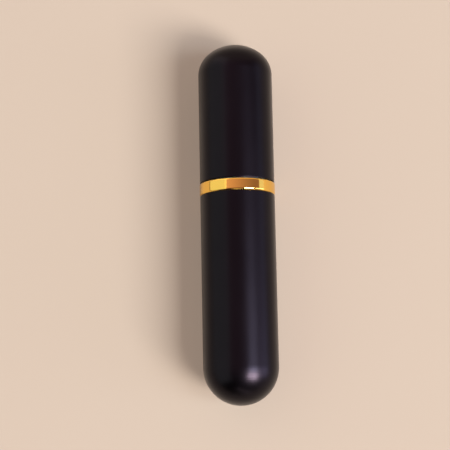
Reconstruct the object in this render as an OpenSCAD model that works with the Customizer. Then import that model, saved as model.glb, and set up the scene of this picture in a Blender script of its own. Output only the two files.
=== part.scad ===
// Gold sample vial in a two-part, domed metal case.
//
// The case lies on its side. Its axis is Y, the cap points to +Y and +Z is up. The collar ring
// rests on the table at Z = 0, and the middle of the whole length is at Y = 0.
// Each piece is drawn upright, with its axis on Z and height 0 at the tip of the body's dome,
// and lying() lays it down. All sizes are in millimetres.
//
// Across the axis the pieces are sized from the inside out: the vial's closure sets the neck's
// bore, then come the neck, the cap's liner and the shell. Along the axis the vial fills the
// case: its length is what the shells, the holder's floor and the two cushions leave.

/* [Case] */
// Length of the body's shell, from the tip of its dome to its lip
body_len = 50.2; // [44:0.2:66]
// Length of the cap's shell, from its lip to the tip of its dome
cap_len = 34.3; // [28:0.1:44]
// Thickness of both shells
shell_wall = 0.7; // [0.5:0.05:1]
// How much the crown's radius on the body's dome passes the case's own; 0 is a half ball
body_crown_extra = 0; // [0:0.1:2]
// The same on the cap's dome, which is flatter
cap_crown_extra = 1.3; // [0:0.1:2]
// Radius of a dome's shoulder, where it turns into the straight side
shoulder_r = 6.7; // [4:0.1:7.5]
// Chamfer on the outer edge of each shell's lip
lip_chamfer = 0.12; // [0.05:0.01:0.3]

/* [Collar ring] */
// Width of the ring between the body's lip and the cap
ring_w = 2.9; // [2:0.1:5]
// How far the ring stands proud of the shells, on the radius
ring_proud = 0.12; // [0.05:0.01:0.4]
// Chamfer on the ring's two outer edges
ring_chamfer = 0.3; // [0.1:0.05:0.6]
// Depth of the ring's spigot inside the body's shell
spigot_len = 1.6; // [1:0.1:3]
// Gap between the ring and the lip of the cap's shell
cap_gap = 0.15; // [0.05:0.01:0.4]

/* [Neck and seal] */
// Wall of the neck sleeve
neck_wall = 1.15; // [1.1:0.05:2]
// Height of the neck above the collar ring
neck_h = 14; // [10:0.5:18]
// Depth of the neck in the vial holder, below the collar ring
neck_seat = 12; // [6:0.5:18]
// Chamfer on the neck's top edge
neck_chamfer = 0.4; // [0.2:0.05:0.8]
// Thickness of the O-ring's cord
seal_d = 0.9; // [0.6:0.05:0.95]
// Height of the O-ring above the collar ring
seal_rise = 5; // [3:0.5:8]
// Room beside the O-ring in its groove, on each side
seal_room = 0.1; // [0.05:0.05:0.3]

/* [Linings] */
// Wall of the cap's liner
liner_wall = 0.65; // [0.5:0.05:1]
// Thickness of the lip inside the liner's top
liner_lip_t = 0.8; // [0.5:0.1:1.2]
// How far that lip reaches in from the liner's bore
liner_lip_reach = 0.7; // [0.4:0.1:0.9]
// Wall of the vial holder's tube
holder_wall = 1; // [0.8:0.1:1.2]
// Thickness of the vial holder's floor
holder_floor = 1.2; // [1:0.1:2]
// Number of ribs that centre the holder in the body
holder_ribs = 8; // [4:1:12]
// Thickness of each rib
holder_rib_t = 1; // [0.8:0.1:1.6]
// Vent hole through the holder's floor and the vial's cushion
vent_d = 3; // [2:0.5:5]
// Thickness of the cushion under the vial
cushion_t = 1.5; // [1:0.1:3]

/* [Vial] */
// Outside diameter of the glass
vial_d = 12; // [10:0.5:16]
// Wall of the glass
glass_wall = 1; // [0.8:0.1:1.4]
// Thickness of the vial's floor
glass_floor = 1.6; // [1.2:0.1:3]
// Outside radius of the vial's bottom edge
heel_r = 1.3; // [0.8:0.1:2]
// Radius of the shoulder below the vial's neck
vial_shoulder_r = 1.5; // [1.2:0.1:2]
// Bore of the vial's mouth
mouth_d = 6.6; // [5:0.1:6.8]
// Outside diameter of the vial's neck, at the root of its thread
finish_d = 8.6; // [8.2:0.1:9.2]
// Height of the vial's neck above its shoulder
finish_h = 8.4; // [7:0.1:10]

/* [Screw closure] */
// Pitch of the thread
pitch = 2; // [1.8:0.1:2.4]
// Turns of thread on the glass
thread_turns = 2; // [1.5:0.25:2.25]
// Depth of the thread on the glass
thread_depth = 0.55; // [0.4:0.05:0.7]
// Gap between the thread on the glass and the closure's wall, and between the two threads
thread_gap = 0.2; // [0.15:0.05:0.3]
// Wall of the closure, under its grip ribs
closure_wall = 0.75; // [0.6:0.05:1.2]
// Thickness of the closure's top
closure_top = 1.5; // [1.2:0.1:2.5]
// Height of the closure's skirt below the rim of the glass
skirt_h = 7.4; // [6:0.1:8]
// Number of grip ribs round the closure
grip_ribs = 30; // [16:1:36]
// How far each grip rib stands out
grip_depth = 0.28; // [0.16:0.04:0.4]
// Width of each grip rib
grip_w = 0.6; // [0.4:0.05:0.8]
// Thickness of the sealing disc inside the closure
disc_t = 1; // [0.8:0.1:1.5]

/* [Fits] */
// Radial gap between the cap's liner and the neck that it slides over
slip_gap = 0.15; // [0.1:0.01:0.25]
// Radial gap round the vial and its closure
vial_gap = 0.25; // [0.2:0.05:0.4]
// Gap left between pieces that are pressed or glued together
press_gap = 0.02; // [0.01:0.01:0.04]
// Gap between the O-ring, drawn unsqueezed, and the cap's liner
seal_gap = 0.02; // [0.01:0.01:0.05]
// Gap between the vial's closure and the pad in the cap
pad_gap = 0.15; // [0.1:0.05:0.4]

/* [Hidden] */
$fn = 96;
// Far enough to reach past any piece, for cuts
far = 200;
// How much too big a dome's shoulder is drawn before it is cut to size
dome_lap = 0.001;

// Radii, from the vial outwards
vial_r = vial_d / 2;
mouth_r = mouth_d / 2;
finish_r = finish_d / 2;
crest_r = finish_r + thread_depth;
closure_bore_r = crest_r + thread_gap;
closure_root_r = closure_bore_r + closure_wall;
closure_r = closure_root_r + grip_depth;
neck_bore_r = max(vial_r, closure_r) + vial_gap;
neck_r = neck_bore_r + neck_wall;
liner_bore_r = neck_r + slip_gap;
shell_bore_r = liner_bore_r + liner_wall + press_gap;
case_r = shell_bore_r + shell_wall;
ring_r = case_r + ring_proud;
holder_bore_r = vial_r + vial_gap;

// Height of a dome whose crown and shoulder arcs meet smoothly
function dome_height(crown_extra) =
    let (crown_r = case_r + crown_extra)
        crown_r - sqrt(pow(crown_r - shoulder_r, 2) - pow(case_r - shoulder_r, 2));
body_dome_h = dome_height(body_crown_extra);
cap_dome_h = dome_height(cap_crown_extra);

// Heights above the tip of the body
ring_top = body_len + ring_w;
neck_top = ring_top + neck_h;
neck_foot = body_len - neck_seat;
seal_z = ring_top + seal_rise;
cap_lip = ring_top + cap_gap;
total_len = cap_lip + cap_len;
holder_z = body_dome_h;
cushion_z = holder_z + holder_floor;
vial_z = cushion_z + cushion_t;
liner_top = total_len - cap_dome_h;
pad_z = liner_top + press_gap;
closure_z = pad_z - pad_gap;
disc_z = closure_z - closure_top - disc_t;
rim_z = disc_z;
skirt_z = rim_z - skirt_h;

// The O-ring's groove in the neck
seal_mid_r = liner_bore_r - seal_gap - seal_d / 2;
groove_r = seal_mid_r - seal_d / 2 - press_gap;
groove_w = seal_d + 2 * seal_room;

// The thread on the glass starts this far below the rim, and the closure's own thread runs
// half a pitch above it
thread_below_rim = 1.2;
thread_root_w = 1;
thread_crest_w = 0.5;
thread_steps = 24;
// Depth to which a thread's root is sunk into the wall that carries it
thread_sink = 0.2;

// Lay an upright piece on its side, with its axis at the height of the collar ring's radius
module lying() {
    translate([0, -total_len / 2, ring_r])
        rotate([-90, 0, 0])
            children();
}

// Spin a half profile, drawn with x as the radius and y as the height
module turned() {
    rotate_extrude()
        children();
}

// Half profile of a block between two radii and two heights
module band(inner_r, outer_r, low, high) {
    translate([inner_r, low])
        square([outer_r - inner_r, high - low]);
}

// Half profile of a bar with a rounded bottom edge and a rounded top edge
module rounded_bar(radius, low, high, bottom_r, top_r) {
    band(0, radius, low + bottom_r, high - top_r);
    band(0, radius - max(bottom_r, top_r), low, high);
    translate([radius - bottom_r, low + bottom_r])
        circle(r = bottom_r);
    translate([radius - top_r, high - top_r])
        circle(r = top_r);
    band(0, radius - bottom_r, low, high - top_r);
    band(0, radius - top_r, low + bottom_r, high);
}

// Half profile of a triangle that cuts a chamfer off an outer edge
module edge_chamfer(radius, edge, size, up) {
    polygon([
        [radius - size, edge],
        [radius + size, edge],
        [radius + size, edge - 2 * up * size],
    ]);
}

// Half profile of everything inside a domed shell of this length, with its lip at height 0 and
// its dome upwards. inset moves the whole outline inwards. A shoulder arc and a crown arc make
// the dome. The shoulder is a hair too big, and the side and the crown cut it to size.
module dome_fill(length, crown_extra, inset) {
    straight = length - dome_height(crown_extra);
    side_r = case_r - inset;
    crown = [0, length - case_r - crown_extra];
    shoulder = [case_r - shoulder_r, straight];
    // The line from the crown's centre through the shoulder's centre parts the two arcs
    past_dome = crown + 2 * (shoulder - crown) * case_r / norm(shoulder - crown);
    intersection() {
        band(0, side_r, 0, length);
        union() {
            band(0, side_r, 0, straight);
            intersection() {
                translate(crown)
                    circle(r = case_r + crown_extra - inset);
                union() {
                    translate(shoulder)
                        circle(r = shoulder_r - inset + dome_lap);
                    polygon([
                        [0, 0], [shoulder[0], 0], shoulder,
                        past_dome, [past_dome[0], far], [0, far],
                    ]);
                }
            }
        }
    }
}

// A shell with a dome on its upper end and its lip at height 0
module domed_shell(length, crown_extra) {
    turned()
        difference() {
            dome_fill(length, crown_extra, 0);
            dome_fill(length, crown_extra, shell_wall);
            edge_chamfer(case_r, 0, lip_chamfer, -1);
        }
}

// A helical ridge of trapezoid section. It climbs anticlockwise, as a right-hand thread does,
// and runs out into its wall over the last eighth of a turn at each end.
module thread(wall_r, tip_r, low, turns) {
    out = sign(tip_r - wall_r);
    count = ceil(turns * thread_steps);
    fade_steps = thread_steps / 8;
    rings = [
        for (i = [0 : count])
            let (
                turn = i * turns / count,
                lift = min(1, i / fade_steps, (count - i) / fade_steps),
                root = wall_r - out * thread_sink,
                tip = wall_r + (tip_r - wall_r) * lift,
                z = low + pitch * turn
            )
            for (p = [
                [root, z - out * thread_root_w / 2],
                [tip, z - out * thread_crest_w / 2],
                [tip, z + out * thread_crest_w / 2],
                [root, z + out * thread_root_w / 2],
            ])
                [p[0] * cos(360 * turn), p[0] * sin(360 * turn), p[1]]
    ];
    sides = [
        for (i = [0 : count - 1])
            for (k = [0 : 3])
                let (a = 4 * i + k, b = 4 * i + (k + 1) % 4)
                for (face = [[a, b, a + 4], [b, b + 4, a + 4]])
                    face
    ];
    ends = [[3, 2, 1, 0], [for (k = [0 : 3]) 4 * count + k]];
    polyhedron(points = rings, faces = concat(sides, ends));
}

module body_shell() {
    color("#16151a")
        lying()
            translate([0, 0, body_len])
                mirror([0, 0, 1])
                    domed_shell(body_len, body_crown_extra);
}

module cap_shell() {
    color("#16151a")
        lying()
            translate([0, 0, cap_lip])
                domed_shell(cap_len, cap_crown_extra);
}

// The ring's flange shows between the shells, and its spigot locates it in the body
module collar_ring() {
    spigot_r = shell_bore_r - press_gap;
    bore_r = neck_r + press_gap;
    color("#e2a23c")
        lying()
            turned()
                difference() {
                    union() {
                        band(0, ring_r, body_len, ring_top);
                        band(0, spigot_r, body_len - spigot_len, body_len + ring_w / 2);
                    }
                    band(0, bore_r, 0, far);
                    edge_chamfer(ring_r, body_len, ring_chamfer, -1);
                    edge_chamfer(ring_r, ring_top, ring_chamfer, 1);
                }
}

// The tube that the cap slides over, with a groove for the O-ring
module neck_sleeve() {
    color("#c9ccd0")
        lying()
            turned()
                difference() {
                    band(neck_bore_r, neck_r, neck_foot, neck_top);
                    band(groove_r, far, seal_z - groove_w / 2, seal_z + groove_w / 2);
                    edge_chamfer(neck_r, neck_top, neck_chamfer, 1);
                }
}

module neck_o_ring() {
    color("#1c1c1c")
        lying()
            translate([0, 0, seal_z])
                rotate_extrude()
                    translate([seal_mid_r, 0])
                        circle(d = seal_d, $fn = 32);
}

// The moulded sleeve in the cap rests on the collar ring and keeps the metal lip off it
module cap_liner() {
    outer_r = shell_bore_r - press_gap;
    color("#d9d9d4")
        lying()
            turned()
                difference() {
                    band(liner_bore_r - liner_lip_reach, outer_r, ring_top, liner_top);
                    band(0, liner_bore_r, 0, liner_top - liner_lip_t);
                }
}

// The foam pad fills the cap's dome above the liner
module cap_pad() {
    color("#3a3a3d")
        lying()
            translate([0, 0, cap_lip])
                turned()
                    intersection() {
                        dome_fill(cap_len, cap_crown_extra, shell_wall + press_gap);
                        band(0, far, pad_z - cap_lip, far);
                    }
}

// The moulded cup that the vial stands in. Its upper end is bored out for the neck, and ribs
// centre its tube in the body.
module vial_holder() {
    outer_r = shell_bore_r - press_gap;
    tube_r = holder_bore_r + holder_wall;
    collar_z = neck_foot - holder_floor;
    top_z = body_len - spigot_len - press_gap;
    color("#d9d9d4")
        lying()
            difference() {
                union() {
                    turned() {
                        band(0, tube_r, holder_z, neck_foot);
                        band(0, outer_r, collar_z, top_z);
                        band(0, outer_r, holder_z, cushion_z);
                    }
                    intersection() {
                        for (i = [0 : holder_ribs - 1])
                            rotate([0, 0, i * 360 / holder_ribs])
                                translate([0, -holder_rib_t / 2, 0])
                                    cube([far, holder_rib_t, far]);
                        turned()
                            band(0, outer_r, holder_z, neck_foot);
                    }
                }
                turned() {
                    band(0, holder_bore_r, cushion_z, far);
                    band(0, neck_r + press_gap, neck_foot, far);
                    band(0, vent_d / 2, 0, far);
                }
            }
}

// The soft disc under the glass, with a vent so that the vial isn't held by suction
module vial_cushion() {
    color("#8f9296")
        lying()
            turned()
                band(vent_d / 2, holder_bore_r - press_gap, cushion_z, vial_z);
}

// A glass vial with a rounded heel, a shoulder and a threaded neck
module glass_vial() {
    shoulder_z = rim_z - finish_h;
    inner_r = vial_r - glass_wall;
    inner_heel_r = heel_r - glass_wall / 2;
    color("#cfe6e4", 0.5)
        lying()
            union() {
                turned()
                    difference() {
                        union() {
                            rounded_bar(vial_r, vial_z, shoulder_z, heel_r, vial_shoulder_r);
                            band(0, finish_r, shoulder_z - glass_wall, rim_z);
                        }
                        rounded_bar(
                            inner_r, vial_z + glass_floor, shoulder_z - glass_wall,
                            inner_heel_r, vial_shoulder_r - glass_wall / 2
                        );
                        band(0, mouth_r, vial_z + glass_floor + glass_wall, far);
                    }
                translate([0, 0, rim_z - thread_below_rim - pitch * thread_turns])
                    thread(finish_r, crest_r, 0, thread_turns);
            }
}

// The soft disc that seals the vial's rim
module closure_liner() {
    color("#f2f0ea")
        lying()
            turned()
                band(0, closure_bore_r - press_gap, disc_z, disc_z + disc_t);
}

// The screw closure: a ribbed cup with a thread inside its skirt
module vial_closure() {
    tip_r = finish_r + thread_gap;
    color("#1f1f22")
        lying() {
            difference() {
                union() {
                    turned()
                        rounded_bar(closure_root_r, skirt_z, closure_z, grip_depth, closure_top / 3);
                    intersection() {
                        for (i = [0 : grip_ribs - 1])
                            rotate([0, 0, i * 360 / grip_ribs])
                                translate([closure_bore_r + closure_wall / 2, -grip_w / 2, 0])
                                    cube([far, grip_w, far]);
                        turned()
                            rounded_bar(closure_r, skirt_z, closure_z, grip_depth, closure_top / 2);
                    }
                }
                turned()
                    band(0, closure_bore_r, skirt_z - 1, disc_z + disc_t);
            }
            translate([0, 0, rim_z - thread_below_rim - pitch * (thread_turns - 0.5)])
                thread(closure_bore_r, tip_r, 0, thread_turns - 0.75);
        }
}

body_shell();
vial_holder();
vial_cushion();
collar_ring();
neck_sleeve();
neck_o_ring();
cap_shell();
cap_liner();
cap_pad();
glass_vial();
closure_liner();
vial_closure();
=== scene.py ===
# %% [markdown]
# # A gold sample vial in its domed metal case
# The case is two drawn aluminium shells, dyed a satin black, with a polished gold-coloured ring
# between them. The cap pulls off a turned neck, and a small glass vial with a ribbed screw
# closure stands inside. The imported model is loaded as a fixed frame: it says where every piece
# is and how it moves. This notebook makes a fine piece for each one, then its finish, and last
# the floor, the light and the camera.

# %% Load the frame
import math

import bmesh
import bpy
from mathutils import Matrix, Vector


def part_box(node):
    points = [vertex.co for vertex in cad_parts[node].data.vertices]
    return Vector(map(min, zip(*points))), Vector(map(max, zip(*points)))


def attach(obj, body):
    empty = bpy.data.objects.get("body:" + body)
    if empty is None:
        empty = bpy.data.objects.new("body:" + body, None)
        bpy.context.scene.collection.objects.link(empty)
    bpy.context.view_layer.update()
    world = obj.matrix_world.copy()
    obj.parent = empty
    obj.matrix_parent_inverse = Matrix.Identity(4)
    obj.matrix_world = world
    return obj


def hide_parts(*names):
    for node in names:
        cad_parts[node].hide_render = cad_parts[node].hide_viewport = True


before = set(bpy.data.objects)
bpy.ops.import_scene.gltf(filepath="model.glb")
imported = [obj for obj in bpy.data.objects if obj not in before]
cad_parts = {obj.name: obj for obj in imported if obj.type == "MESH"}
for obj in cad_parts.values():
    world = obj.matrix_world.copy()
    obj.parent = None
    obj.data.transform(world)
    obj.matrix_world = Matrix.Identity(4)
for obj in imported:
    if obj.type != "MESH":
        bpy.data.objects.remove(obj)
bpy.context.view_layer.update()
print("nodes:", sorted(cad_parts))

# %% [markdown]
# ## Measures
# The case lies along Y, so each piece is a radius and two places along the axis, which are read
# off the frame. Only what a box can't say is written here, in millimetres: walls, bores and the
# small roundings that a cutter or a mould leaves. Those roundings matter more than anything to
# the eye, because an edge with no radius never catches the light.

# %% Places along the axis
MM = 0.001


def span(node):
    """Where a piece starts and ends along the axis, and its radius."""
    low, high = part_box(node)
    return low.y, high.y, (high.x - low.x) / 2


body_tip, body_lip, case_r = span("body_shell")
cap_lip, cap_tip, _ = span("cap_shell")
_, ring_top, ring_r = span("collar_ring")
axis_height = (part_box("collar_ring")[0].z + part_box("collar_ring")[1].z) / 2
print(f"case {(cap_tip - body_tip) / MM:.2f} mm long, {2 * case_r / MM:.2f} mm across, "
      f"axis {axis_height / MM:.2f} mm up")

# %% Walls and bores that the boxes don't show
FIT = 0.02 * MM
shell_wall = 0.7 * MM
cap_crown_extra = 1.3 * MM
shoulder_r = 6.7 * MM
shell_bore_r = case_r - shell_wall
spigot_r = shell_bore_r - FIT
neck_foot, neck_top, neck_r = span("neck_sleeve")
neck_wall = 1.15 * MM
neck_bore_r = neck_r - neck_wall

# %% [markdown]
# ## One tree that turns a piece
# Nearly everything here was spun: drawn and trimmed on a lathe, or moulded round. A Spin
# modifier or a Screw would do it, but a Geometry Nodes tree lets every piece share one recipe.
# It takes a half outline made of straight edges, in which each corner says how far it is
# rounded, fillets it, sweeps it round a small hub circle, and welds the seam and the poles. Then
# it lays the piece along Y at the height of the axis.

# %% Helpers for nodes
def add(tree, kind, sockets=None, **settings):
    """Add a node. sockets gives each input a value or another node's output to link."""
    node = tree.nodes.new(kind)
    for name, value in settings.items():
        setattr(node, name, value)
    for key, value in (sockets or {}).items():
        if isinstance(value, bpy.types.NodeSocket):
            tree.links.new(value, node.inputs[key])
        else:
            node.inputs[key].default_value = value
    return node


def new_tree(name, inputs):
    """A modifier tree with named inputs. Returns the tree and its input node."""
    tree = bpy.data.node_groups.new(name, "GeometryNodeTree")
    tree.is_modifier = True
    tree.interface.new_socket("Geometry", in_out="INPUT", socket_type="NodeSocketGeometry")
    tree.interface.new_socket("Geometry", in_out="OUTPUT", socket_type="NodeSocketGeometry")
    for label, kind, value in inputs:
        socket = tree.interface.new_socket(label, in_out="INPUT", socket_type="NodeSocket" + kind)
        if value is not None:
            socket.default_value = value
    return tree, tree.nodes.new("NodeGroupInput").outputs


def lay_and_finish(tree, geometry, inputs):
    """End a tree: lay the upright piece along Y, realise it and set its material."""
    height = add(tree, "ShaderNodeCombineXYZ", {"Z": inputs["Axis height"]}).outputs["Vector"]
    laid = add(tree, "GeometryNodeTransform", {
        "Geometry": geometry, "Translation": height, "Rotation": (-math.pi / 2, 0, 0)})
    smooth = add(tree, "GeometryNodeSetShadeSmooth", {"Geometry": laid.outputs[0]})
    real = add(tree, "GeometryNodeRealizeInstances", {"Geometry": smooth.outputs[0]})
    dressed = add(tree, "GeometryNodeSetMaterial", {
        "Geometry": real.outputs[0], "Material": inputs["Material"]})
    tree.links.new(dressed.outputs[0], tree.nodes.new("NodeGroupOutput").inputs["Geometry"])


# %% The recipe for a turned piece
HUB_R = 1 * MM
WELD = 0.0005 * MM


def sweep_round(tree, outline_mesh, steps, rounding_steps):
    """Nodes that fillet a half outline and turn it round the Z axis."""
    drawn = add(tree, "GeometryNodeMeshToCurve", {"Mesh": outline_mesh})
    rounding = add(tree, "GeometryNodeInputNamedAttribute", {"Name": "rounding"}, data_type="FLOAT")
    filleted = add(tree, "GeometryNodeFilletCurve", {
        "Curve": drawn.outputs[0], "Count": rounding_steps, "Radius": rounding.outputs[0],
        "Limit Radius": True}, mode="POLY")
    # A sweep carries the outline's Y downwards, so it is turned over first
    inward = add(tree, "GeometryNodeTransform", {
        "Geometry": filleted.outputs[0], "Translation": (-HUB_R, 0, 0), "Scale": (1, -1, 1)})
    hub = add(tree, "GeometryNodeCurvePrimitiveCircle", {"Resolution": steps, "Radius": HUB_R})
    upright = add(tree, "GeometryNodeSetCurveNormal", {"Curve": hub.outputs[0]}, mode="Z_UP")
    swept = add(tree, "GeometryNodeCurveToMesh", {
        "Curve": upright.outputs[0], "Profile Curve": inward.outputs[0]})
    welded = add(tree, "GeometryNodeMergeByDistance", {
        "Geometry": swept.outputs[0], "Distance": WELD})
    return welded.outputs[0]


ROUND_INPUTS = [("Steps round", "Int", 160), ("Rounding steps", "Int", 5),
                ("Axis height", "Float", axis_height), ("Material", "Material", None)]
turned_tree, turned_in = new_tree("Turned piece", ROUND_INPUTS)
lay_and_finish(turned_tree, sweep_round(turned_tree, turned_in["Geometry"], turned_in["Steps round"],
                                        turned_in["Rounding steps"]), turned_in)
print("turned piece tree:", len(turned_tree.nodes), "nodes")

# %% [markdown]
# ## Colours and finishes
# Each finish is one Principled shader. What is the same all over a surface is set on the
# shader's own sockets, and nodes give only what varies: grain, lathe lines, wear. Colours are
# given as sRGB hex, as a designer would note them, and one function turns them to linear light.
# Patterns read Object coordinates, and every scale comes from a real size in millimetres.

# %% Helpers for finishes
def linear(code):
    """Turn an sRGB hex colour into the linear colour that a shader reads."""
    channels = [int(code[i:i + 2], 16) / 255 for i in (1, 3, 5)]
    return [c / 12.92 if c <= 0.04045 else ((c + 0.055) / 1.055) ** 2.4 for c in channels] + [1.0]


def new_finish(name, colour, **constants):
    """A material with its constants set. Returns it, its tree, its shader and the coordinates."""
    material = bpy.data.materials.new(name)
    material.use_nodes = True
    tree = material.node_tree
    shader = tree.nodes["Principled BSDF"]
    shader.inputs["Base Color"].default_value = linear(colour)
    for label, value in constants.items():
        shader.inputs[label.replace("_", " ")].default_value = value
    place = add(tree, "ShaderNodeTexCoord").outputs["Object"]
    return material, tree, shader, place


def grain(tree, place, size, stretch=(1, 1, 1), detail=2):
    """Noise whose lumps are about this size, in metres, and this much longer on each axis."""
    fitted = add(tree, "ShaderNodeMapping", {
        "Vector": place, "Scale": [1 / (size * s) for s in stretch]})
    return add(tree, "ShaderNodeTexNoise", {
        "Vector": fitted.outputs[0], "Scale": 1, "Detail": detail}).outputs["Fac"]


def vary(tree, factor, socket, low, high):
    """Let a pattern move a shader's socket between two values."""
    spread = add(tree, "ShaderNodeMapRange", {
        "Value": factor, "From Min": 0.3, "From Max": 0.7, "To Min": low, "To Max": high})
    tree.links.new(spread.outputs[0], socket)


def tint(tree, factor, shader, colour, other):
    """Let a pattern move the base colour between two hex colours."""
    mix = add(tree, "ShaderNodeMix", data_type="RGBA")
    mix.inputs[6].default_value = linear(colour)
    mix.inputs[7].default_value = linear(other)
    tree.links.new(factor, mix.inputs[0])
    tree.links.new(mix.outputs[2], shader.inputs["Base Color"])


def emboss(tree, height, shader, depth, strength=1.0):
    """Let a pattern raise the surface by this depth, in metres."""
    bump = add(tree, "ShaderNodeBump", {"Height": height, "Distance": depth, "Strength": strength})
    tree.links.new(bump.outputs[0], shader.inputs["Normal"])


# %% [markdown]
# ### Satin black anodised aluminium
# The shells are blasted with fine beads, then anodised and dyed. The dye soaks into the oxide,
# so the metal's own shine is nearly drunk up: a soft, faintly blue highlight is left, and a rim
# that turns warm where it grazes the table's light. A metal with a very dark base colour does
# that, because its shine still rises to full at the rim. The blasted grain is about 0.05 mm, too
# fine to show, so it is drawn at 0.3 mm and very shallow.

# %% Satin black shells
satin_black, tree, shader, place = new_finish(
    "anodised_aluminium_satin_black", "#201d22", Metallic=1.0, Roughness=0.31)
blasted = grain(tree, place, 0.3 * MM)
handled = grain(tree, place, 6 * MM, stretch=(1, 3, 1))
vary(tree, handled, shader.inputs["Roughness"], 0.29, 0.33)
tint(tree, grain(tree, place, 11 * MM), shader, "#1e1b20", "#221f24")
emboss(tree, blasted, shader, 0.004 * MM, 0.5)
print(satin_black.name)

# %% [markdown]
# ### Polished gold-coloured anodising
# The collar is turned, buffed and anodised in a clear gold dye, so it mirrors the room in
# orange and yellow. Buffing leaves lines round the ring that are hardly there: they spread a
# reflection a little along the axis.

# %% Gold collar ring
gold_dye, tree, shader, place = new_finish(
    "anodised_aluminium_polished_gold", "#f9c860", Metallic=1.0, Roughness=0.08)
buffed = grain(tree, place, 0.25 * MM, stretch=(40, 1, 40))
vary(tree, grain(tree, place, 3 * MM), shader.inputs["Roughness"], 0.06, 0.11)
emboss(tree, buffed, shader, 0.001 * MM, 0.4)
print(gold_dye.name)

# %% [markdown]
# ### Turned, clear anodised aluminium
# The neck is left as the lathe cut it. The tool moves about 0.1 mm along at each turn and leaves
# a fine spiral, which is drawn here as rings 0.3 mm apart so that it still reads as a sheen of
# lines.

# %% Neck sleeve
clear_turned, tree, shader, place = new_finish(
    "anodised_aluminium_clear_turned", "#cfd1d4", Metallic=1.0, Roughness=0.26)
TOOL_STEP = 0.3 * MM
along = add(tree, "ShaderNodeSeparateXYZ", {"Vector": place}).outputs["Y"]
turns = add(tree, "ShaderNodeMath", {0: along, 1: 2 * math.pi / TOOL_STEP}, operation="MULTIPLY")
ridges = add(tree, "ShaderNodeMath", {0: turns.outputs[0]}, operation="SINE")
emboss(tree, ridges.outputs[0], shader, 0.004 * MM, 0.5)
vary(tree, grain(tree, place, 0.6 * MM, stretch=(12, 1, 12)), shader.inputs["Roughness"], 0.2, 0.32)
tint(tree, grain(tree, place, 5 * MM), shader, "#c9cbce", "#d6d8da")
print(clear_turned.name)

# %% [markdown]
# ### Moulded plastics, rubber and foam
# Natural polypropylene is milky and lets a little light into its wall. Silicone does the same
# with a softer surface. Nitrile rubber is black with a bloom that dulls it in patches. The foam
# is closed-cell EVA, whose cut skin shows cells about 0.4 mm across. Each cell is painted
# darker towards its middle, as painted shade in its pit.

# %% Polypropylene, silicone, rubber and foam
milky_plastic, tree, shader, place = new_finish(
    "polypropylene_natural_moulded", "#b8b8b1", Roughness=0.42, IOR=1.49,
    Subsurface_Weight=0.35, Subsurface_Scale=0.8 * MM)
vary(tree, grain(tree, place, 2.5 * MM), shader.inputs["Roughness"], 0.36, 0.48)
tint(tree, grain(tree, place, 6 * MM), shader, "#b3b3ab", "#bdbdb7")
emboss(tree, grain(tree, place, 0.35 * MM), shader, 0.006 * MM, 0.5)

soft_silicone, tree, shader, place = new_finish(
    "silicone_grey_moulded", "#777a7e", Roughness=0.5, IOR=1.41,
    Subsurface_Weight=0.3, Subsurface_Scale=0.6 * MM)
vary(tree, grain(tree, place, 1.2 * MM), shader.inputs["Roughness"], 0.44, 0.58)
tint(tree, grain(tree, place, 3 * MM), shader, "#737679", "#7b7e82")
emboss(tree, grain(tree, place, 0.3 * MM), shader, 0.01 * MM, 0.5)

black_nitrile, tree, shader, place = new_finish(
    "nitrile_rubber_black", "#1b1b1c", Roughness=0.5, IOR=1.52)
bloom = grain(tree, place, 0.8 * MM, detail=4)
vary(tree, bloom, shader.inputs["Roughness"], 0.42, 0.66)
tint(tree, bloom, shader, "#161617", "#2a2a2b")
emboss(tree, grain(tree, place, 0.15 * MM), shader, 0.006 * MM, 0.5)

eva_foam, tree, shader, place = new_finish("eva_foam_charcoal", "#3a3a3d", Roughness=0.88, IOR=1.45)
CELL = 0.4 * MM
spread = add(tree, "ShaderNodeMapping", {"Vector": place, "Scale": [1 / CELL] * 3})
cells = add(tree, "ShaderNodeTexVoronoi", {"Vector": spread.outputs[0], "Scale": 1})
# Painted shade: each cell is coloured darker towards its middle, where the bump sinks its pit.
tint(tree, cells.outputs["Distance"], shader, "#2c2c2f", "#4b4b4f")
emboss(tree, cells.outputs["Distance"], shader, 0.12 * MM, 0.7)
print(milky_plastic.name, soft_silicone.name, black_nitrile.name, eva_foam.name, sep="\n")

# %% [markdown]
# ### Glass, phenolic and fluoropolymer
# The vial is borosilicate tube, worked in a flame: quite clear, with a slow waviness that bends
# what is behind it. Its closure is black phenolic, pressed from powder, so it is glossy with a
# fine orange peel, and fingers have rubbed the crests of its ribs a little paler. The disc that
# seals the rim is a white fluoropolymer film on foam.

# %% Glass, closure and sealing disc
clear_glass, tree, shader, place = new_finish(
    "borosilicate_glass_clear", "#f7fbfa", Roughness=0.015, IOR=1.47, Transmission_Weight=1.0)
emboss(tree, grain(tree, place, 4 * MM, stretch=(1, 2, 1), detail=1), shader, 0.02 * MM, 0.5)

black_phenolic, tree, shader, place = new_finish(
    "phenolic_black_moulded", "#131315", Roughness=0.3, IOR=1.6)
vary(tree, grain(tree, place, 1.5 * MM, detail=3), shader.inputs["Roughness"], 0.24, 0.38)
from_axis = add(tree, "ShaderNodeVectorMath", {0: place, 1: (0, 0, axis_height)},
                operation="SUBTRACT")
outward = add(tree, "ShaderNodeVectorMath", {0: from_axis.outputs[0], 1: (1, 0, 1)},
              operation="MULTIPLY")
reach = add(tree, "ShaderNodeVectorMath", {0: outward.outputs[0]}, operation="LENGTH")
crest_r = span("vial_closure")[2]
RUBBED_DEPTH = 0.14 * MM
rubbed = add(tree, "ShaderNodeMapRange", {
    "Value": reach.outputs["Value"], "From Min": crest_r - RUBBED_DEPTH, "From Max": crest_r,
    "To Min": 0.1, "To Max": 0.9})
worn = add(tree, "ShaderNodeMath", {
    0: rubbed.outputs[0], 1: grain(tree, place, 0.7 * MM, detail=4)}, operation="MULTIPLY")
tint(tree, worn.outputs[0], shader, "#101012", "#4a4a4d")
emboss(tree, grain(tree, place, 0.4 * MM), shader, 0.006 * MM, 0.5)

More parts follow.
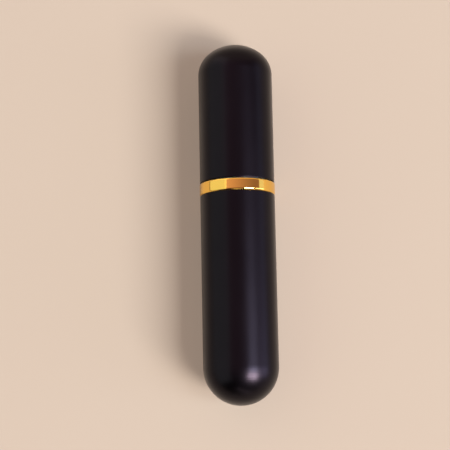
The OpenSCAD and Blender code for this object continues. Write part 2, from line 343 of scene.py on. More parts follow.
white_film, tree, shader, place = new_finish(
    "fluoropolymer_film_white", "#d0cfcb", Roughness=0.4, IOR=1.38,
    Subsurface_Weight=0.2, Subsurface_Scale=0.4 * MM)
vary(tree, grain(tree, place, 0.9 * MM), shader.inputs["Roughness"], 0.34, 0.5)
tint(tree, grain(tree, place, 2 * MM), shader, "#cbc9c4", "#d5d4d1")
emboss(tree, grain(tree, place, 0.25 * MM), shader, 0.005 * MM, 0.5)
print(clear_glass.name, black_phenolic.name, white_film.name, sep="\n")

# %% [markdown]
# ## Drawing and growing a piece
# An outline is a list of corners: radius, place along the axis, and how far the corner is
# rounded. A solid piece starts and ends its outline on the axis, and a hollow one closes it.
# The tree's result is turned into a plain mesh, its normals are made to face outwards, and edges
# that stay sharp after the roundings are marked, so that the rest shades smooth.

# %% Helpers for pieces
SHARP_ANGLE = math.radians(38)
HOLD = 0.05 * MM


def eased(corners, i):
    """How far from corner i its rounding reaches along the edges that meet there."""
    here = Vector(corners[i][:2])
    before = here - Vector(corners[i - 1][:2])
    after = Vector(corners[(i + 1) % len(corners)][:2]) - here
    return (corners[i][2] if len(corners[i]) > 2 else 0) * math.tan(before.angle(after) / 2)


def with_holds(corners, closed):
    """Put a point just inside both ends of each long edge, so that a straight wall shades straight."""
    held = []
    last = len(corners) if closed else len(corners) - 1
    for i in range(last):
        j = (i + 1) % len(corners)
        start, end = Vector(corners[i][:2]), Vector(corners[j][:2])
        reach_start = 0 if i == 0 and not closed else eased(corners, i)
        reach_end = 0 if j == last and not closed else eased(corners, j)
        way = (end - start).normalized()
        held.append(corners[i])
        if (end - start).length > reach_start + reach_end + 4 * HOLD:
            held.append(tuple(start + way * (reach_start + HOLD)))
            held.append(tuple(end - way * (reach_end + HOLD)))
    return held if closed else held + [corners[-1]]


def outline(name, corners, closed=False):
    """A mesh of edges through the corners, each of which keeps its rounding."""
    mesh = bpy.data.meshes.new(name)
    corners = with_holds(corners, closed)
    edges = [(i, i + 1) for i in range(len(corners) - 1)]
    if closed:
        edges.append((len(corners) - 1, 0))
    mesh.from_pydata([(corner[0], corner[1], 0) for corner in corners], edges, [])
    rounding = mesh.attributes.new("rounding", "FLOAT", "POINT")
    rounding.data.foreach_set("value", [corner[2] if len(corner) > 2 else 0 for corner in corners])
    return mesh


def grow(name, tree, seed_mesh, **inputs):
    """Run a tree on a seed mesh and keep what it makes as a plain mesh."""
    piece = bpy.data.objects.new(name, seed_mesh)
    bpy.context.scene.collection.objects.link(piece)
    modifier = piece.modifiers.new(tree.name, "NODES")
    modifier.node_group = tree
    for item in tree.interface.items_tree:
        key = item.name.replace(" ", "_")
        if item.in_out == "INPUT" and key in inputs:
            modifier[item.identifier] = inputs[key]
    view_layer = bpy.context.evaluated_depsgraph_get()
    mesh = bpy.data.meshes.new_from_object(piece.evaluated_get(view_layer))
    piece.modifiers.remove(modifier)
    piece.data = mesh
    tidy = bmesh.new()
    tidy.from_mesh(mesh)
    bmesh.ops.recalc_face_normals(tidy, faces=tidy.faces)
    open_edges = sum(1 for edge in tidy.edges if len(edge.link_faces) != 2)
    tidy.to_mesh(mesh)
    tidy.free()
    mesh.set_sharp_from_angle(angle=SHARP_ANGLE)
    print(f"{name}: {len(mesh.polygons)} faces, {open_edges} open edges")
    return piece


def stand_for(piece, node, body):
    """The piece takes the CAD node's place and moves with its body."""
    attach(piece, body)
    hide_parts(node)


# %% [markdown]
# ## The two drawn shells
# A dome that is drawn from sheet isn't quite a half ball. The body's is, but the cap's is a
# flatter crown that turns into the side over a smaller shoulder. Two arcs that meet without a
# kink give both, and the inner wall follows at the thickness of the sheet. The trimmed lip is
# rounded over, or it would look like cut paper.

# %% A dome of two arcs
ARC_STEPS = 16


def dome(tip, away, crown_extra, inset=0):
    """Corners from the axis to the straight side. away is the way from the tip into the piece."""
    crown_r = case_r + crown_extra
    drop = crown_r - math.sqrt((crown_r - shoulder_r) ** 2 - (case_r - shoulder_r) ** 2)
    meet = math.atan2(crown_r - drop, case_r - shoulder_r)
    corners = []
    for centre_r, centre_drop, radius, start, end in (
            (0, crown_r, crown_r - inset, math.pi / 2, meet),
            (case_r - shoulder_r, drop, shoulder_r - inset, meet, 0)):
        steps = round(ARC_STEPS * (start - end))
        for i in range(steps):
            turn = start + (end - start) * i / steps
            corners.append((centre_r + radius * math.cos(turn),
                            tip + away * (centre_drop - radius * math.sin(turn))))
    corners.append((case_r - inset, tip + away * drop))
    corners[0] = (0, corners[0][1])
    return corners


def shell_outline(name, tip, lip, away, crown_extra):
    """A domed shell, from its tip round its lip to the inside of its tip."""
    outer = dome(tip, away, crown_extra)
    inner = dome(tip, away, crown_extra, shell_wall)
    lip_edge = [(case_r, lip, 0.16 * MM), (shell_bore_r, lip, 0.12 * MM)]
    return outline(name, outer + lip_edge + inner[::-1])


# %% Turn the shells
body_shell = grow("body_shell_drawn", turned_tree,
                  shell_outline("body_shell_outline", body_tip, body_lip, 1, 0),
                  Steps_round=192, Material=satin_black)
stand_for(body_shell, "body_shell", "base")
cap_shell = grow("cap_shell_drawn", turned_tree,
                 shell_outline("cap_shell_outline", cap_tip, cap_lip, -1, cap_crown_extra),
                 Steps_round=192, Material=satin_black)
stand_for(cap_shell, "cap_shell", "cap")

# %% [markdown]
# ## The collar ring
# The ring shows a flat band whose two edges are eased over, by hand on a buffing wheel. That
# easing is what throws the thin pale line along the ring's edge towards the light. Below the
# band, a spigot locates the ring in the body's shell.

# %% Turn the ring
EASED_IN = 0.26 * MM
EASED_DROP = 0.26 * MM
EASED_R = 0.5 * MM
ring_bore_r = neck_r + FIT
spigot_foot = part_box("collar_ring")[0].y
ring_corners = [
    (ring_bore_r, spigot_foot, 0.05 * MM), (spigot_r, spigot_foot, 0.25 * MM),
    (spigot_r, body_lip, 0.03 * MM), (ring_r - EASED_DROP, body_lip, 0.04 * MM),
    (ring_r, body_lip + EASED_IN, EASED_R), (ring_r, ring_top - EASED_IN, EASED_R),
    (ring_r - EASED_DROP, ring_top, 0.04 * MM), (ring_bore_r, ring_top, 0.03 * MM),
]
collar_ring = grow("collar_ring_polished", turned_tree,
                   outline("collar_ring_outline", ring_corners, closed=True),
                   Steps_round=224, Rounding_steps=8, Material=gold_dye)
stand_for(collar_ring, "collar_ring", "base")

# %% [markdown]
# ## Neck and seal
# The neck is a plain tube with a chamfered mouth and a groove, and a nitrile ring sits in the
# groove. Four corners rounded by half the cord's thickness make the cord's circle.

# %% Turn the neck and its O-ring
seal_low, seal_high, seal_outer_r = span("neck_o_ring")
seal_d = seal_high - seal_low
seal_inner_r = seal_outer_r - seal_d
SEAL_ROOM = 0.1 * MM
groove_r = seal_inner_r - FIT
groove_low, groove_high = seal_low - SEAL_ROOM, seal_high + SEAL_ROOM
MOUTH_CHAMFER = 0.4 * MM
neck_corners = [
    (neck_bore_r, neck_foot, 0.2 * MM), (neck_r, neck_foot, 0.2 * MM),
    (neck_r, groove_low, 0.06 * MM), (groove_r, groove_low, 0.08 * MM),
    (groove_r, groove_high, 0.08 * MM), (neck_r, groove_high, 0.06 * MM),
    (neck_r, neck_top - MOUTH_CHAMFER, 0.12 * MM), (neck_r - MOUTH_CHAMFER, neck_top, 0.12 * MM),
    (neck_bore_r, neck_top, 0.25 * MM),
]
neck_sleeve = grow("neck_sleeve_turned", turned_tree,
                   outline("neck_sleeve_outline", neck_corners, closed=True),
                   Steps_round=192, Material=clear_turned)
stand_for(neck_sleeve, "neck_sleeve", "base")

cord_r = seal_d / 2
seal_corners = [(seal_inner_r, seal_low, cord_r), (seal_outer_r, seal_low, cord_r),
                (seal_outer_r, seal_high, cord_r), (seal_inner_r, seal_high, cord_r)]
o_ring = grow("o_ring_nitrile", turned_tree, outline("o_ring_outline", seal_corners, closed=True),
              Steps_round=128, Rounding_steps=7, Material=black_nitrile)
stand_for(o_ring, "neck_o_ring", "base")

# %% [markdown]
# ## Linings
# The cap's liner is moulded, with a flared mouth that finds the neck. The holder in the body is
# a cup with ribs, which are copies of one rounded bar set round a circle.

# %% Turn the cap's liner
liner_low, liner_high, liner_r = span("cap_liner")
LINER_WALL = 0.65 * MM
LINER_LIP = 0.8 * MM
LIP_REACH = 0.7 * MM
FLARE = 0.3 * MM
liner_bore_r = liner_r - LINER_WALL
liner_lip_r = liner_bore_r - LIP_REACH
liner_corners = [
    (liner_bore_r + FLARE, liner_low, 0.08 * MM), (liner_r, liner_low, 0.15 * MM),
    (liner_r, liner_high, 0.25 * MM), (liner_lip_r, liner_high, 0.25 * MM),
    (liner_lip_r, liner_high - LINER_LIP, 0.15 * MM),
    (liner_bore_r, liner_high - LINER_LIP, 0.3 * MM), (liner_bore_r, liner_low + FLARE, 0.3 * MM),
]
cap_liner = grow("cap_liner_moulded", turned_tree,
                 outline("cap_liner_outline", liner_corners, closed=True),
                 Material=milky_plastic)
stand_for(cap_liner, "cap_liner", "cap")

# %% A tree for pieces with bars set round them
def bars_round(tree, inputs):
    """Nodes for rounded bars that stand round the Z axis, each a swept square with soft edges."""
    foot = add(tree, "ShaderNodeCombineXYZ", {"Z": inputs["Bar foot"]}).outputs[0]
    head = add(tree, "ShaderNodeCombineXYZ", {"Z": inputs["Bar head"]}).outputs[0]
    spine = add(tree, "GeometryNodeCurvePrimitiveLine", {"Start": foot, "End": head})
    stops = add(tree, "GeometryNodeResampleCurve", {"Curve": spine.outputs[0], "Count": 12})
    upright = add(tree, "GeometryNodeSetCurveNormal", {
        "Curve": stops.outputs[0], "Normal": (1, 0, 0)}, mode="FREE")
    section = add(tree, "GeometryNodeCurvePrimitiveQuadrilateral", {
        "Width": inputs["Bar depth"], "Height": inputs["Bar width"]})
    soft = add(tree, "GeometryNodeFilletCurve", {
        "Curve": section.outputs[0], "Count": 3, "Radius": inputs["Bar rounding"],
        "Limit Radius": True}, mode="POLY")
    way = add(tree, "GeometryNodeSplineParameter").outputs["Factor"]
    from_middle = add(tree, "ShaderNodeMath", {0: way, 1: 0.5}, operation="SUBTRACT")
    to_end = add(tree, "ShaderNodeMath", {0: from_middle.outputs[0]}, operation="ABSOLUTE")
    end_ease = add(tree, "ShaderNodeMapRange", {
        "Value": to_end.outputs[0], "From Min": 0.41, "From Max": 0.5, "To Min": 1,
        "To Max": inputs["Bar end"]}, interpolation_type="SMOOTHSTEP")
    bar = add(tree, "GeometryNodeCurveToMesh", {
        "Curve": upright.outputs[0], "Profile Curve": soft.outputs[0],
        "Scale": end_ease.outputs[0], "Fill Caps": True})
    ring = add(tree, "GeometryNodeCurvePrimitiveCircle", {
        "Resolution": inputs["Bars"], "Radius": inputs["Bar circle"]})
    spot = add(tree, "GeometryNodeInputPosition").outputs[0]
    turn = add(tree, "FunctionNodeAlignRotationToVector", {"Vector": spot}, axis="X")
    bars = add(tree, "GeometryNodeInstanceOnPoints", {
        "Points": ring.outputs[0], "Instance": bar.outputs[0], "Rotation": turn.outputs[0]})
    return bars.outputs[0]


BAR_INPUTS = [("Bars", "Int", 8), ("Bar circle", "Float", None), ("Bar depth", "Float", None),
              ("Bar width", "Float", None), ("Bar rounding", "Float", None),
              ("Bar end", "Float", 1.0), ("Bar foot", "Float", None), ("Bar head", "Float", None)]
ribbed_tree, ribbed_in = new_tree("Ribbed piece", ROUND_INPUTS + BAR_INPUTS)
ribbed_parts = add(ribbed_tree, "GeometryNodeJoinGeometry")
for part in (bars_round(ribbed_tree, ribbed_in),
             sweep_round(ribbed_tree, ribbed_in["Geometry"], ribbed_in["Steps round"],
                         ribbed_in["Rounding steps"])):
    ribbed_tree.links.new(part, ribbed_parts.inputs[0])
lay_and_finish(ribbed_tree, ribbed_parts.outputs[0], ribbed_in)
print("ribbed piece tree:", len(ribbed_tree.nodes), "nodes")

# %% Mould the vial holder
holder_low, holder_high, holder_r = span("vial_holder")
cushion_low, cushion_high, cushion_r = span("vial_cushion")
HOLDER_WALL = 1 * MM
VENT_R = 1.5 * MM
WEB = 1.2 * MM
tube_bore_r = cushion_r + FIT
tube_r = tube_bore_r + HOLDER_WALL
neck_seat_r = neck_r + FIT
holder_corners = [
    (VENT_R, holder_low, 0.1 * MM), (holder_r, holder_low, 0.3 * MM),
    (holder_r, cushion_low, 0.2 * MM), (tube_r, cushion_low, 0.3 * MM),
    (tube_r, neck_foot - WEB, 0.3 * MM), (holder_r, neck_foot - WEB, 0.3 * MM),
    (holder_r, holder_high, 0.15 * MM), (neck_seat_r, holder_high, 0.15 * MM),
    (neck_seat_r, neck_foot, 0.1 * MM), (tube_bore_r, neck_foot, 0.15 * MM),
    (tube_bore_r, cushion_low, 0.1 * MM), (VENT_R, cushion_low, 0.1 * MM),
]
RIB_SUNK = 0.3 * MM
rib_root_r = tube_bore_r + HOLDER_WALL / 2
vial_holder = grow("vial_holder_moulded", ribbed_tree,
                   outline("vial_holder_outline", holder_corners, closed=True),
                   Bars=8, Bar_circle=(rib_root_r + holder_r) / 2, Bar_depth=holder_r - rib_root_r,
                   Bar_width=1 * MM, Bar_rounding=0.2 * MM, Bar_foot=cushion_low - RIB_SUNK,
                   Bar_head=neck_foot - WEB + RIB_SUNK, Material=milky_plastic)
stand_for(vial_holder, "vial_holder", "base")

# %% [markdown]
# ## The two cushions
# The vial stands on a soft silicone disc with a vent in it. In the cap's dome sits a foam pad.
# It is cut to the dome, but foam never keeps a cutter's edge: its rim pulls in, its face is
# crowned, and its skin is pitted by open cells. The pits are real dents, made by pushing the
# skin inwards by a Voronoi pattern of the foam's own cell size.

# %% Mould the silicone disc
PAD_EDGE = 0.35 * MM
WAIST = 0.12 * MM
disc_middle = (cushion_low + cushion_high) / 2
cushion_corners = [
    (VENT_R, cushion_low, PAD_EDGE), (cushion_r, cushion_low, PAD_EDGE),
    (cushion_r - WAIST, disc_middle, 0.5 * MM), (cushion_r, cushion_high, PAD_EDGE),
    (VENT_R, cushion_high, PAD_EDGE), (VENT_R + WAIST, disc_middle, 0.5 * MM),
]
vial_cushion = grow("vial_cushion_silicone", turned_tree,
                    outline("vial_cushion_outline", cushion_corners, closed=True),
                    Material=soft_silicone)
stand_for(vial_cushion, "vial_cushion", "base")

# %% Cut the foam pad
foam_tree, foam_in = new_tree("Foam piece", ROUND_INPUTS + [("Cell", "Float", CELL),
                                                            ("Pit depth", "Float", 0.08 * MM)])
skin = sweep_round(foam_tree, foam_in["Geometry"], foam_in["Steps round"],
                   foam_in["Rounding steps"])
per_cell = add(foam_tree, "ShaderNodeMath", {0: 1, 1: foam_in["Cell"]}, operation="DIVIDE")
pits = add(foam_tree, "ShaderNodeTexVoronoi", {"Scale": per_cell.outputs[0], "Randomness": 1})
depth = add(foam_tree, "ShaderNodeMapRange", {
    "Value": pits.outputs["Distance"], "From Min": 0.1, "From Max": 0.6, "To Min": 1, "To Max": 0})
inwards = add(foam_tree, "ShaderNodeMath", {
    0: depth.outputs[0], 1: foam_in["Pit depth"]}, operation="MULTIPLY")
outwards = add(foam_tree, "GeometryNodeInputNormal").outputs[0]
push = add(foam_tree, "ShaderNodeVectorMath", {0: outwards}, operation="SCALE")
foam_tree.links.new(inwards.outputs[0], push.inputs["Scale"])
pitted = add(foam_tree, "GeometryNodeSetPosition", {"Geometry": skin, "Offset": push.outputs[0]})
lay_and_finish(foam_tree, pitted.outputs[0], foam_in)

pad_low, _, pad_r = span("cap_pad")
FACE_STEPS = 24
CROWN = 0.35 * MM
SKIN_GAP = 0.06 * MM
face = [(pad_r * i / FACE_STEPS, pad_low + SKIN_GAP + CROWN * (i / FACE_STEPS) ** 4)
        for i in range(FACE_STEPS)]
back = dome(cap_tip, -1, cap_crown_extra, shell_wall + SKIN_GAP + FIT)[::-1]
rim_place = pad_low + SKIN_GAP + CROWN
rim = [(pad_r - SKIN_GAP, rim_place, 0.6 * MM)]
back = [corner for corner in back if corner[1] > rim_place + 0.5 * MM]
cap_pad = grow("cap_pad_foam", foam_tree, outline("cap_pad_outline", face + rim + back),
               Steps_round=150, Material=eva_foam)
stand_for(cap_pad, "cap_pad", "cap")

# %% [markdown]
# ## Screw threads
# A screw thread is one section carried along a helix. The helix is a Spiral curve, the section
# is a trapezoid with softened corners, and its size runs down to nothing at both ends, as a
# mould makes it. The thread is then joined to the turned body by an exact Boolean, because a
# clear glass piece must be one skin, or light would bend at walls that aren't there. The glass
# and the closure share the pitch, and their threads are half a pitch apart, so they mesh.

# %% A tree for threaded pieces
THREAD_ROOT_W, THREAD_CREST_W, THREAD_ROUNDING = 1 * MM, 0.5 * MM, 0.14 * MM
RUN_OUT_TURNS = 0.14


def helix(tree, inputs):
    """Nodes for a thread whose section is drawn from the wall it stands on."""
    rise = add(tree, "ShaderNodeMath", {0: inputs["Pitch"], 1: inputs["Turns"]},
               operation="MULTIPLY")
    coil = add(tree, "GeometryNodeCurveSpiral", {
        "Resolution": 48, "Rotations": inputs["Turns"], "Start Radius": inputs["Wall radius"],
        "End Radius": inputs["Wall radius"], "Height": rise.outputs[0]})
    upright = add(tree, "GeometryNodeSetCurveNormal", {"Curve": coil.outputs[0]}, mode="Z_UP")
    middle = add(tree, "ShaderNodeMath", {0: inputs["Crest"], 1: inputs["Sunk"]},
                 operation="SUBTRACT")
    half_way = add(tree, "ShaderNodeMath", {0: middle.outputs[0], 1: 0.5}, operation="MULTIPLY")
    tall = add(tree, "ShaderNodeMath", {0: inputs["Crest"], 1: inputs["Sunk"]}, operation="ADD")
    section = add(tree, "GeometryNodeCurvePrimitiveQuadrilateral", {
        "Height": tall.outputs[0], "Bottom Width": THREAD_ROOT_W, "Top Width": THREAD_CREST_W,
        "Offset": 0}, mode="TRAPEZOID")
    soft = add(tree, "GeometryNodeFilletCurve", {
        "Curve": section.outputs[0], "Count": 3, "Radius": THREAD_ROUNDING,
        "Limit Radius": True}, mode="POLY")
    shift = add(tree, "ShaderNodeCombineXYZ", {"Y": half_way.outputs[0]})
    lifted = add(tree, "GeometryNodeTransform", {
        "Geometry": soft.outputs[0], "Translation": shift.outputs[0]})
    turn = add(tree, "ShaderNodeCombineXYZ", {"Z": inputs["Section turn"]})
    turned = add(tree, "GeometryNodeTransform", {
        "Geometry": lifted.outputs[0], "Rotation": turn.outputs[0]})
    way = add(tree, "GeometryNodeSplineParameter").outputs["Factor"]
    back = add(tree, "ShaderNodeMath", {0: 1, 1: way}, operation="SUBTRACT")
    near = add(tree, "ShaderNodeMath", {0: way, 1: back.outputs[0]}, operation="MINIMUM")
    from_end = add(tree, "ShaderNodeMath", {0: near.outputs[0], 1: inputs["Turns"]},
                   operation="MULTIPLY")
    fade = add(tree, "ShaderNodeMapRange", {
        "Value": from_end.outputs[0], "From Min": 0, "From Max": RUN_OUT_TURNS, "To Min": 0.05,
        "To Max": 1}, interpolation_type="SMOOTHSTEP")
    ridge = add(tree, "GeometryNodeCurveToMesh", {
        "Curve": upright.outputs[0], "Profile Curve": turned.outputs[0],
        "Scale": fade.outputs[0], "Fill Caps": True})
    lift = add(tree, "ShaderNodeCombineXYZ", {"Z": inputs["Thread foot"]})
    placed = add(tree, "GeometryNodeTransform", {
        "Geometry": ridge.outputs[0], "Translation": lift.outputs[0]})
    return placed.outputs[0]


def unite(tree, *parts):
    """Nodes that fuse parts into one skin."""
    fused = add(tree, "GeometryNodeMeshBoolean", operation="UNION", solver="EXACT")
    for part in parts:
        tree.links.new(part, fused.inputs["Mesh 2"])
    return fused.outputs[0]


OUT, IN = -math.pi / 2, math.pi / 2
THREAD_INPUTS = [("Wall radius", "Float", None), ("Crest", "Float", 0.55 * MM),
                 ("Sunk", "Float", 0.2 * MM), ("Pitch", "Float", 2 * MM), ("Turns", "Float", 2.0),
                 ("Section turn", "Float", OUT), ("Thread foot", "Float", None)]
threaded_tree, threaded_in = new_tree("Threaded piece", ROUND_INPUTS + THREAD_INPUTS)
lay_and_finish(threaded_tree, unite(
    threaded_tree, helix(threaded_tree, threaded_in),
    sweep_round(threaded_tree, threaded_in["Geometry"], threaded_in["Steps round"],
                threaded_in["Rounding steps"])), threaded_in)
print("threaded piece tree:", len(threaded_tree.nodes), "nodes")

# %% [markdown]
# ## The glass vial
# The vial is worked from tube: its foot is pushed up in the middle so that it stands on a ring,
# its heel and shoulder are soft curves, and the mouth's rim is fire-polished round.

# %% Draw the vial
vial_low, rim_place, vial_r = span("glass_vial")
GLASS_WALL = 1 * MM
FLOOR_T = 1.6 * MM
PUSH_UP = 0.45 * MM
FINISH_R = 4.3 * MM
MOUTH_R = 3.3 * MM
FINISH_H = 8.4 * MM
THREAD_BELOW_RIM = 1.2 * MM
PITCH = 2 * MM
GLASS_TURNS = 2.0
shoulder_place = rim_place - FINISH_H
floor_place = vial_low + FLOOR_T
vial_corners = [
    (0, vial_low + PUSH_UP), (3.2 * MM, vial_low + PUSH_UP, 4 * MM),
    (4.4 * MM, vial_low, 0.5 * MM), (vial_r, vial_low, 1.3 * MM),
    (vial_r, shoulder_place, 1.5 * MM), (FINISH_R, shoulder_place, 0.5 * MM),
    (FINISH_R, rim_place, 0.45 * MM), (MOUTH_R, rim_place, 0.45 * MM),
    (MOUTH_R, shoulder_place - GLASS_WALL, 0.8 * MM),
    (vial_r - GLASS_WALL, shoulder_place - GLASS_WALL, 1 * MM),
    (vial_r - GLASS_WALL, floor_place, 1.4 * MM), (2.6 * MM, floor_place, 4 * MM),
    (0, floor_place + 0.2 * MM),
]
glass_vial = grow("glass_vial_flameworked", threaded_tree,
                  outline("glass_vial_outline", vial_corners),
                  Steps_round=128, Rounding_steps=8, Wall_radius=FINISH_R, Pitch=PITCH,
                  Turns=GLASS_TURNS, Material=clear_glass,
                  Thread_foot=rim_place - THREAD_BELOW_RIM - PITCH * GLASS_TURNS)
stand_for(glass_vial, "glass_vial", "vial")

# %% [markdown]
# ## Closure and sealing disc
# The closure is a pressed cup. Thirty ribs give the fingers a grip, and its top is dished
# inside a raised rim. It is the only piece with bars and a thread too, so it has a tree of its
# own that joins the recipes already made.

# %% Press the closure
closure_low, closure_high, closure_r = span("vial_closure")
disc_low, disc_high, disc_r = span("closure_liner")
CLOSURE_WALL = 0.75 * MM
CLOSURE_TURNS = 1.25
DISH = 0.2 * MM
closure_bore_r = disc_r + FIT
closure_root_r = closure_bore_r + CLOSURE_WALL
closure_corners = [
    (0, closure_high - DISH), (3.9 * MM, closure_high - DISH, 0.3 * MM),
    (4.3 * MM, closure_high, 0.25 * MM), (closure_root_r, closure_high, 0.5 * MM),
    (closure_root_r, closure_low, 0.25 * MM), (closure_bore_r, closure_low, 0.2 * MM),
    (closure_bore_r, disc_high, 0.1 * MM), (0, disc_high),
]
closure_tree, closure_in = new_tree("Closure", ROUND_INPUTS + BAR_INPUTS + THREAD_INPUTS)
cup = unite(closure_tree, helix(closure_tree, closure_in),
            sweep_round(closure_tree, closure_in["Geometry"], closure_in["Steps round"],
                        closure_in["Rounding steps"]))
closure_parts = add(closure_tree, "GeometryNodeJoinGeometry")
for part in (bars_round(closure_tree, closure_in), cup):
    closure_tree.links.new(part, closure_parts.inputs[0])
lay_and_finish(closure_tree, closure_parts.outputs[0], closure_in)

GRIP_W = 0.6 * MM
GRIP_SUNK = 0.25 * MM
grip_depth = closure_r - closure_root_r + GRIP_SUNK
vial_closure = grow(
    "vial_closure_pressed", closure_tree, outline("vial_closure_outline", closure_corners),
    Steps_round=120, Bars=30, Bar_circle=closure_r - grip_depth / 2, Bar_depth=grip_depth,
    Bar_width=GRIP_W, Bar_rounding=0.22 * MM, Bar_end=0.35, Bar_foot=closure_low + 0.6 * MM,
    Bar_head=closure_high - 0.35 * MM, Wall_radius=closure_bore_r, Pitch=PITCH,
    Turns=CLOSURE_TURNS, Section_turn=IN, Material=black_phenolic,
    Thread_foot=rim_place - THREAD_BELOW_RIM - PITCH * (GLASS_TURNS - 0.5))
stand_for(vial_closure, "vial_closure", "closure")

# %% Cut the sealing disc
FILM_T = 0.3 * MM
SEAM_W, SEAM_D = 0.08 * MM, 0.06 * MM
film_place = disc_low + FILM_T
disc_corners = [
    (0, disc_low), (disc_r, disc_low, 0.08 * MM), (disc_r, film_place, 0.02 * MM),
    (disc_r - SEAM_D, film_place + SEAM_W / 2, 0.02 * MM),
    (disc_r, film_place + SEAM_W, 0.02 * MM), (disc_r, disc_high, 0.2 * MM), (0, disc_high),
]
sealing_disc = grow("closure_liner_film_on_foam", turned_tree,
                    outline("closure_liner_outline", disc_corners),
                    Steps_round=128, Material=white_film)
stand_for(sealing_disc, "closure_liner", "sealing_disc")

# %% [markdown]
# ## Floor
# The case lies on a plain, warm sheet. Its colour comes back in the rims of the shells and in
# both ends of the ring, so it does more for the look than a floor usually does. The sheet is
# given a faint glow of its own, which is painted light: it lightens the whole floor and keeps
# the shadow pale.

# %% Floor
# Painted light: the emission gives the floor a faint glow of its own, which lightens it and pales the
# shadow.
paper_with_painted_glow, tree, shader, place = new_finish(
    "paper_warm_matt", "#8b8374", Roughness=0.9, Emission_Color=linear("#dfc4b3"),
    Emission_Strength=0.25)
tint(tree, grain(tree, place, 60 * MM), shader, "#8a8273", "#8c8475")
FLOOR_HALF = 1.5
floor_mesh = bpy.data.meshes.new("floor")
floor_mesh.from_pydata([(-FLOOR_HALF, -FLOOR_HALF, 0), (FLOOR_HALF, -FLOOR_HALF, 0),
                        (FLOOR_HALF, FLOOR_HALF, 0), (-FLOOR_HALF, FLOOR_HALF, 0)], [],
                       [(0, 1, 2, 3)])
floor_mesh.materials.append(paper_with_painted_glow)
floor = bpy.data.objects.new("floor", floor_mesh)
bpy.context.scene.collection.objects.link(floor)
print("floor:", 2 * FLOOR_HALF, "m square")

# %% [markdown]
# ## Light
# A polished ring is a map of the room, so the light is set by what the ring and the shells
# mirror. The key stands high on the right, towards the body's end: it makes the bright spot on
# the body's dome and the shadow on the left. The streak, above the case's side, draws the long
# soft line on the satin, and the window, lower down, carries that line on towards the right rim.
# A wide card on the left fills the ring's yellow patch, and a strip low on the right gives its
# thin bright one. One more strip, far down past the body's end, is for the ring's eased edge,
# which mirrors nothing else from there. It is hidden from the camera, as it would stand in view
# when the case is seen from its cap.

# %% Light
def softbox(name, towards, distance, across, along, radiance, colour):
    """A rectangular light that faces the object. radiance is how bright its face looks."""
    data = bpy.data.lights.new(name, "AREA")
    data.shape = "RECTANGLE"
    data.size, data.size_y = across, along
    data.color = linear(colour)[:3]
    data.energy = radiance * math.pi * across * along
    box = bpy.data.objects.new(name, data)
    way = Vector(towards).normalized()
    side = Vector((0, 1, 0)).cross(way).normalized()
    turn = Matrix((side, way.cross(side), way)).transposed()
    box.matrix_world = Matrix.Translation(way * distance) @ turn.to_4x4()
    bpy.context.scene.collection.objects.link(box)
    return box


# Name, the way it stands in, its distance, its size across the case and along it, its
# radiance and its colour. Distances and sizes are in metres.
LIGHTS = [
    ("key", (0.582, -0.463, 0.668), 3.5, 1.75, 1.0, 42.0, "#fff3f2"),
    ("streak", (0.62, -0.16, 0.74), 3.5, 1.6, 0.85, 17.0, "#e6efff"),
    ("window", (0.88, -0.19, 0.24), 3.3, 1.8, 1.5, 4.2, "#e6e2ff"),
    ("left_card", (-0.84, 0.15, 0.5), 2.4, 2.6, 5.6, 0.95, "#f3fcee"),
    ("right_strip", (0.97, 0.17, 0.155), 3.0, 0.93, 2.4, 0.85, "#d8efff"),
    ("low_strip", (0.12, -0.97, 0.17), 3.0, 2.2, 0.34, 2.5, "#fff0e6"),
]
boxes = {row[0]: softbox(*row) for row in LIGHTS}
boxes["low_strip"].visible_camera = False
print("softboxes:", ", ".join(boxes))

# %% [markdown]
# ### The room behind the lights
# The softboxes don't hide the room, so the room's glow adds to theirs. Overhead it falls off
# from left to right and towards the body's end, and it is dark behind the card on the left.
# Beyond the cap stands a pale wall, which the ring never mirrors.

# %% The room
FAR_WALL = 0.9
OVERHEAD_HUE, WALL_HUE = "#ffced7", "#ffe4cc"
world = bpy.data.worlds.new("room")
bpy.context.scene.world = world
world.use_nodes = True
room = world.node_tree
looking = add(room, "ShaderNodeTexCoord").outputs["Generated"]
way = add(room, "ShaderNodeSeparateXYZ", {"Vector": looking}).outputs


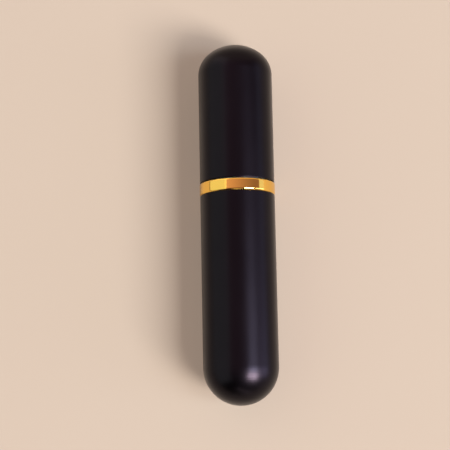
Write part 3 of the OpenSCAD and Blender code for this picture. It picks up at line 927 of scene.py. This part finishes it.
def fade(axis, start, end, low=0.0, high=1.0, kind="LINEAR"):
    """Nodes that go from low to high as the way one looks turns from start to end on an axis."""
    return add(room, "ShaderNodeMapRange", {
        "Value": way[axis], "From Min": start, "From Max": end, "To Min": low, "To Max": high},
        interpolation_type=kind).outputs[0]


def times(one, other):
    """Nodes that multiply two glows."""
    return add(room, "ShaderNodeMath", {0: one, 1: other}, operation="MULTIPLY").outputs[0]


left_to_right = fade("X", -0.6, 0.8, 0.84, 0.3)
end_to_cap = fade("Y", -0.7, 0.3, 0.05, 1.1)
past_card = fade("X", -0.62, -0.44, 0.1, 1, "SMOOTHSTEP")
overhead = times(left_to_right, times(end_to_cap, past_card))
beyond = fade("Y", 0.5, 0.8, kind="SMOOTHSTEP")
glow = add(room, "ShaderNodeMix", {"Factor": beyond, "A": overhead, "B": FAR_WALL})
hue = add(room, "ShaderNodeMix", data_type="RGBA")
hue.inputs[6].default_value = linear(OVERHEAD_HUE)
hue.inputs[7].default_value = linear(WALL_HUE)
room.links.new(beyond, hue.inputs[0])
backdrop = room.nodes["Background"]
room.links.new(hue.outputs[2], backdrop.inputs["Color"])
room.links.new(glow.outputs[0], backdrop.inputs["Strength"])
bpy.context.scene.view_settings.view_transform = "Standard"
print("room:", len(room.nodes), "nodes")

# %% [markdown]
# ## Camera
# The camera looks down from nearly overhead with a long lens, and a hair off square, as a hand
# that holds it does.

# %% Camera
LENS = 104
PLACE = (11.59 * MM, -49.1 * MM, 317.98 * MM)
RIGHT = (0.9985, -0.0194, -0.0507)
UP = (0.027, 0.9877, 0.1539)
BACK = (0.0471, -0.1551, 0.9868)
camera_data = bpy.data.cameras.new("camera")
camera_data.lens = LENS
camera_data.clip_start = 0.01
camera = bpy.data.objects.new("camera", camera_data)
camera.matrix_world = Matrix([*zip(RIGHT, UP, BACK, PLACE), (0, 0, 0, 1)])
bpy.context.scene.collection.objects.link(camera)
bpy.context.scene.camera = camera
print(f"camera: {LENS} mm lens, {PLACE[2] / MM:.0f} mm up")
